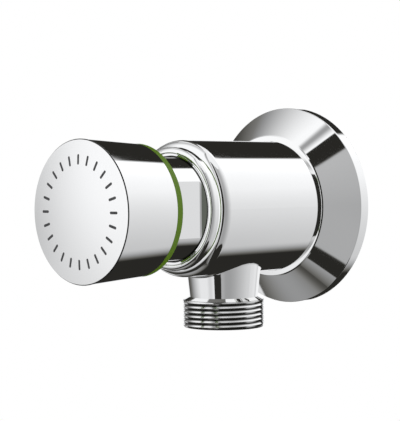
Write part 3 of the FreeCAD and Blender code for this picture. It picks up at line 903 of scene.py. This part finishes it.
def make_button():
    ring_front = button_rear + button_ring_width
    inner_face = button_front - button_face_wall
    boss_rear = inner_face - button_boss_length
    outside = rounded_outline([
        (ring_front, button_inner_radius, 0.0),
        (ring_front, button_skirt_radius, button_skirt_round),
        (button_front - button_bevel, button_front_radius, button_bevel_round),
        (face_distance(button_edge_radius), button_edge_radius, 0.0),
    ])[:-1]
    face_radii = [button_edge_radius * step / face_steps for step in range(face_steps, -1, -1)]
    face = [(face_distance(radius), radius) for radius in face_radii]
    inside = [
        (inner_face, 0.0),
        (inner_face, button_insert_radius),
        (boss_rear, button_insert_radius),
        (boss_rear, button_boss_radius),
        (inner_face, button_boss_radius + button_boss_foot),
        (inner_face, button_inner_radius),
    ]
    return spun_piece("button_cap", outside + face + inside, button_chrome)


button = make_button()
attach(button, "plunger")
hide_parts("push_button")

# %% [markdown]
# The coloured ring behind the button is moulded. Its outer edges are rounder than the metal's,
# and an inner lip clips into the mouth of the button.

# %% Button ring
def make_ring():
    ring_front = button_rear + button_ring_width
    lip_front = ring_front + button_ring_lip
    lip_radius = button_inner_radius - button_ring_play
    bore_round, rear_round, front_round = button_ring_rounds
    outline = rounded_outline([
        (button_rear, button_ring_bore, bore_round),
        (button_rear, button_rear_radius, rear_round),
        (ring_front, button_skirt_radius, front_round),
        (ring_front, lip_radius, 0.0),
        (lip_front, lip_radius, 0.0),
        (lip_front, button_ring_bore, 0.0),
    ])
    return spun_piece("coloured_ring", outline, green_plastic)


ring = make_ring()
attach(ring, "plunger")
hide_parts("button_ring")

# %% [markdown]
# The marks on the face are a plain ring of short strokes, inlaid in the crown. One stroke is drawn as a
# rounded bar, tilted with the crown, and Geometry Nodes repeat it round the axis.

# %% Marks on the button
mark_count = 24
mark_middle = 15.4 * mm
mark_length = 3.1 * mm
mark_width = 0.8 * mm
mark_thickness = 0.3 * mm
mark_proud = 0.015 * mm
mark_round_share = 0.499
mark_round_steps = 5


def rounded_bar(tree, length, width, thickness):
    # A flat bar with round ends: its outline is filled, raised and closed below.
    sizes = {"Width": length, "Height": width}
    bar = add_node(tree, "GeometryNodeCurvePrimitiveQuadrilateral", sizes, mode="RECTANGLE")
    rounding = {
        "Curve": bar.outputs[0],
        "Radius": product(tree, width, mark_round_share),
        "Count": mark_round_steps,
    }
    outline = add_node(tree, "GeometryNodeFilletCurve", rounding, mode="POLY").outputs[0]
    face = add_node(tree, "GeometryNodeFillCurve", {"Curve": outline}, mode="NGONS").outputs[0]
    raising = {"Mesh": face, "Offset Scale": thickness}
    raised = add_node(tree, "GeometryNodeExtrudeMesh", raising, mode="FACES")
    underside = add_node(tree, "GeometryNodeFlipFaces", {"Mesh": face})
    both = add_node(tree, "GeometryNodeJoinGeometry", {0: raised.outputs["Mesh"]})
    feed(tree, both.inputs[0], underside.outputs[0])
    return weld(tree, both.outputs[0])


def build_marks_tree():
    numbers = dict.fromkeys(("Length", "Width", "Thickness", "Tilt"), "Float")
    inputs = {"Count": "Int", **numbers, "Place": "Vector", "Finish": "Material"}
    tree, given = new_shape_tree("ring_of_marks", inputs)
    lean = add_node(tree, "ShaderNodeCombineXYZ", {"X": math.pi / 2, "Z": given["Tilt"]})
    placed = add_node(tree, "GeometryNodeTransform", {
        "Geometry": rounded_bar(tree, given["Length"], given["Width"], given["Thickness"]),
        "Rotation": lean.outputs[0],
        "Translation": given["Place"],
    })
    middles = {"Count": given["Count"], "Offset": (0.0, 0.0, 0.0)}
    index = add_node(tree, "GeometryNodeInputIndex").outputs[0]
    angle = product(tree, maths(tree, "DIVIDE", index, given["Count"]), 2 * math.pi)
    marks = add_node(tree, "GeometryNodeInstanceOnPoints", {
        "Points": add_node(tree, "GeometryNodeMeshLine", middles, mode="OFFSET").outputs[0],
        "Instance": placed.outputs[0],
        "Rotation": add_node(tree, "ShaderNodeCombineXYZ", {"Y": angle}).outputs[0],
    })
    end_shape_tree(tree, marks.outputs[0], given["Finish"])
    return tree


mark_top = face_distance(mark_middle) + mark_proud
marks = make_shape("button_marks", build_marks_tree(), bpy.data.meshes.new("button_marks"), {
    "Count": mark_count,
    "Length": mark_length,
    "Width": mark_width,
    "Thickness": mark_thickness,
    "Tilt": math.asin(mark_middle / crown_radius),
    "Place": (mark_middle, mark_thickness - mark_top, 0.0),
    "Finish": enamel,
})
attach(marks, "plunger")

# %% [markdown]
# The body keeps the surface of its CAD model, with the exact direction that the CAD model gives for every
# corner, which is what keeps mirrors clean. These helpers copy the part of such a surface on one side of a
# plane across the valve's axis, and close the cut with a flat face inside the metal.

# %% Copies of a CAD surface
def one_side(corners, cut, behind):
    # The part of a face on one side of the plane y = cut. A corner is a point with its direction.
    kept = []
    for this, following in zip(corners, corners[1:] + corners[:1]):
        if (this[0].y > cut) == behind:
            kept.append(this)
        if (this[0].y > cut) != (following[0].y > cut):
            near, far = sorted((this, following), key=lambda corner: corner[0].y)
            share = (cut - near[0].y) / (far[0].y - near[0].y)
            kept.append((near[0].lerp(far[0], share), near[1].lerp(far[1], share).normalized()))
    return kept


def faces_over_cut(mesh, cut):
    # The flat faces that close the open edges in the plane of the cut.
    work = bmesh.new()
    work.from_mesh(mesh)
    open_edges = [
        edge for edge in work.edges
        if edge.is_boundary and abs(edge.verts[0].co.y - cut) < weld_distance
    ]
    filled = bmesh.ops.triangle_fill(work, use_beauty=True, use_dissolve=False, edges=open_edges)["geom"]
    new_faces = [item for item in filled if isinstance(item, bmesh.types.BMFace)]
    faces = [[point.index for point in face.verts] for face in new_faces]
    work.free()
    return faces


def cut_copy(name, source, reshape, cut, behind):
    mesh = source.data
    points = [Vector([round(value, 7) for value in point.co]) for point in mesh.vertices]
    corners = [
        (reshape(points[loop.vertex_index]), direction.vector.copy())
        for loop, direction in zip(mesh.loops, mesh.corner_normals)
    ]
    places = {}
    faces = []
    directions = []
    for face in mesh.polygons:
        kept = one_side([corners[index] for index in face.loop_indices], cut, behind)
        keys = [tuple(round(value, 7) for value in point) for point, _ in kept]
        if len(set(keys)) < 3:
            continue
        faces.append([places.setdefault(key, len(places)) for key in keys])
        directions += [tuple(direction) for _, direction in kept]
    copy = bpy.data.meshes.new(name)
    copy.from_pydata(list(places), [], faces)
    across_cut = (0.0, -1.0 if behind else 1.0, 0.0)
    for face in faces_over_cut(copy, cut):
        faces.append(face)
        directions += [across_cut] * len(face)
    copy.clear_geometry()
    copy.from_pydata(list(places), [], faces)
    copy.shade_smooth()
    copy.normals_split_custom_set(directions)
    piece = new_object(name, copy)
    piece.data.materials.append(chrome)
    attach(piece, "body")
    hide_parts(source.name)
    print(name, len(places), "points")
    return piece


print("points of the body's surface:", len(nodes["valve_body"].data.vertices))

# %% [markdown]
# Only the two plain cylinders that stand for threads are sunk to the bottom of the thread, so that a real
# thread can be laid round them. The body is cut into a front and a rear piece between the branch and
# the flange, because the rear piece shows in the mirror of the flange's lip.

# %% Body
outlet_core_radius = outlet_thread_radius - outlet_thread_depth
inlet_core_radius = inlet_thread_radius - inlet_thread_depth
outlet_cone_slope = (outlet_thread_radius - outlet_stem_radius) / (outlet_thread_top - outlet_stem_bottom)
outlet_core_top = outlet_stem_bottom + (outlet_core_radius - outlet_stem_radius) / outlet_cone_slope
sleeve_wall = 0.35 * mm
core_gap = 0.01 * mm
close_by = 0.1 * mm


def sink_threads(point):
    # Moves a point of a plain cylinder to the core of its thread, and leaves all others where they are.
    from_outlet = Vector((point.x, point.y + outlet_distance))
    from_inlet = Vector((point.x, point.z))
    if point.z < -outlet_thread_top + 2 * close_by and from_outlet.length > outlet_stem_radius:
        depth = -point.z
        if depth > outlet_end - close_by:
            radius = outlet_core_radius - sleeve_wall
        else:
            radius = outlet_core_radius - core_gap
            depth = outlet_core_top if depth < outlet_thread_top + close_by else depth
        side = from_outlet.normalized() * radius
        return Vector((side.x, side.y - outlet_distance, -depth))
    if point.y > -inlet_thread_front - close_by and from_inlet.length > inlet_core_radius - 2 * close_by:
        at_end = point.y > -inlet_end - close_by
        side = from_inlet.normalized() * (inlet_core_radius - (sleeve_wall if at_end else core_gap))
        return Vector((side.x, point.y, side.y))
    return point


body_cut = -15.05 * mm
body = cut_copy("body_shell", nodes["valve_body"], sink_threads, body_cut, behind=False)
cut_copy("body_rear", nodes["valve_body"], sink_threads, body_cut, behind=True)

# %% [markdown]
# A thread is a groove that climbs by one pitch in each turn. Its tree works like the spinning tree, but
# the rows climb with the angle. The groove begins below a narrow land, and the far end has a chamfer.
# After a full turn each row has reached the place of the next one, so the seam closes by itself.
# A row's Y value is 1 where it climbs and 0 where it stays, as at the two ends.

# %% The thread tree
thread_steps = 256
thread_sharp_bend = 0.3


def build_thread_tree():
    numbers = dict.fromkeys(("Pitch", "Start", "End", "Core", "Depth", "Land"), "Float")
    inputs = {"Steps": "Int", **numbers, "Turn": "Vector", "Place": "Vector", "Finish": "Material"}
    tree, given = new_shape_tree("cut_thread", inputs)
    rows = given["Geometry"]
    grid, row, turn = rows_and_columns(tree, rows, given["Steps"])
    own_radius, climbs, own_height = split(tree, point_of_row(tree, rows, row))
    height = add_node(tree, "ShaderNodeClamp", {
        "Value": maths(tree, "ADD", own_height, product(tree, climbs, turn, given["Pitch"])),
        "Min": product(tree, climbs, given["Start"]),
        "Max": given["End"],
    }).outputs[0]
    crest = maths(tree, "ADD", given["Core"], given["Depth"])
    past_land = maths(tree, "SUBTRACT", maths(tree, "SUBTRACT", height, given["Start"]), given["Land"])
    land = maths(tree, "MINIMUM", maths(tree, "SUBTRACT", crest, past_land), crest)
    ridges = maths(tree, "MAXIMUM", own_radius, product(tree, climbs, land))
    chamfer = maths(tree, "ADD", given["Core"], maths(tree, "SUBTRACT", given["End"], height))
    radius = maths(tree, "MINIMUM", ridges, chamfer)
    upright = add_node(tree, "ShaderNodeCombineXYZ", {"X": radius, "Z": height}).outputs[0]
    turning = {"Vector": spin(tree, upright, (0.0, 0.0, 1.0), turn), "Rotation": given["Turn"]}
    turned = add_node(tree, "ShaderNodeVectorRotate", turning, rotation_type="EULER_XYZ").outputs[0]
    placed = add_node(tree, "ShaderNodeVectorMath", {0: turned, 1: given["Place"]}, operation="ADD")
    shape = close_and_sharpen(tree, grid, placed.outputs[0], thread_sharp_bend)
    end_shape_tree(tree, shape, given["Finish"])
    return tree


thread_tree = build_thread_tree()
print("thread tree:", len(thread_tree.nodes), "nodes")

# %% [markdown]
# The rows of one ridge are written as shares of the pitch and of the depth: floor, straight flank,
# blunt crest and flank. The inlet has the usual deep pipe thread. The outlet's is rolled shallow, with
# plain V-shaped ridges. The first and last rows close the sleeve on the inside.

# %% Threads
deep_ridge = [(0.0, 0.0), (0.10, 0.0), (0.46, 0.94), (0.51, 1.0), (0.59, 1.0), (0.64, 0.94)]
shallow_ridge = [(0.02, 0.0), (0.47, 0.97), (0.485, 1.0), (0.515, 1.0), (0.53, 0.97), (0.98, 0.0)]


def make_thread(name, finish, ridge, shift, sizes):
    # The sleeve widens from core to crest before its start, and the ridges follow up to its end.
    core, depth, pitch, end = (sizes[label] for label in ("Core", "Depth", "Pitch", "End"))
    rows = [(core - sleeve_wall, 0.0, 0.0), (core, 0.0, 0.0), (core + depth, 0.0, sizes["Start"])]
    for number in range(-2, math.ceil(end / pitch) + 2):
        for share, height in ridge:
            rows.append((core + depth * height, 1.0, (number + share) * pitch + shift))
    rows.append((core - sleeve_wall, 0.0, end))
    rows.append(rows[0])
    start = bpy.data.meshes.new(name)
    start.from_pydata(rows, [], [])
    piece = make_shape(name, thread_tree, start, {"Steps": thread_steps, "Finish": finish, **sizes})
    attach(piece, "body")
    return piece


outlet_thread = make_thread("outlet_thread", outlet_chrome, shallow_ridge, outlet_thread_shift, {
    "Start": outlet_thread_depth / outlet_cone_slope,
    "End": outlet_end - outlet_core_top,
    "Core": outlet_core_radius,
    "Depth": outlet_thread_depth,
    "Land": outlet_land,
    "Pitch": outlet_pitch,
    "Turn": (math.pi, 0.0, 0.0),
    "Place": (0.0, -outlet_distance, -outlet_core_top),
})
inlet_thread = make_thread("inlet_thread", inlet_chrome, deep_ridge, 0.0, {
    "Start": inlet_lead,
    "End": inlet_thread_front - inlet_end,
    "Core": inlet_core_radius,
    "Depth": inlet_thread_depth,
    "Land": inlet_land,
    "Pitch": inlet_pitch,
    "Turn": (-math.pi / 2, 0.0, 0.0),
    "Place": (0.0, -inlet_thread_front, 0.0),
})

# %% [markdown]
# The head and the inner parts keep their CAD shape. Each gets its finish by the material slot
# that the record gives it.

# %% Finishes for the CAD parts
finishes = {
    "polished_chrome": chrome,
    "green_plastic": green_plastic,
    "stainless_steel": steel,
    "machined_brass": brass,
    "black_rubber": rubber,
    "white_plastic": white_plastic,
}
for part in frame["record"]["subparts"]:
    piece = nodes[part["node"]]
    finish = head_chrome if part["node"] == "head" else finishes[part["material_slot"]]
    for index in range(len(piece.data.materials)):
        piece.data.materials[index] = finish

# %% [markdown]
# Pushing the button squeezes the return spring against the washer behind it, and the coils close up evenly.
# Here the spring only gets a mesh of its own.

# %% Return spring
spring = nodes["return_spring"]
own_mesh(spring)

# %% [markdown]
# Where two mirrors face each other they repeat each other's image many times, which reads as clutter.
# A studio shot of chrome avoids that, so here the metal parts don't show in each other.
# They still show the studio, the coloured ring and the rear of the body.

# %% Clean reflections
for piece in (body, flange, button, outlet_thread, inlet_thread, *nodes.values()):
    piece.visible_glossy = False
print("metal parts are left out of reflections")
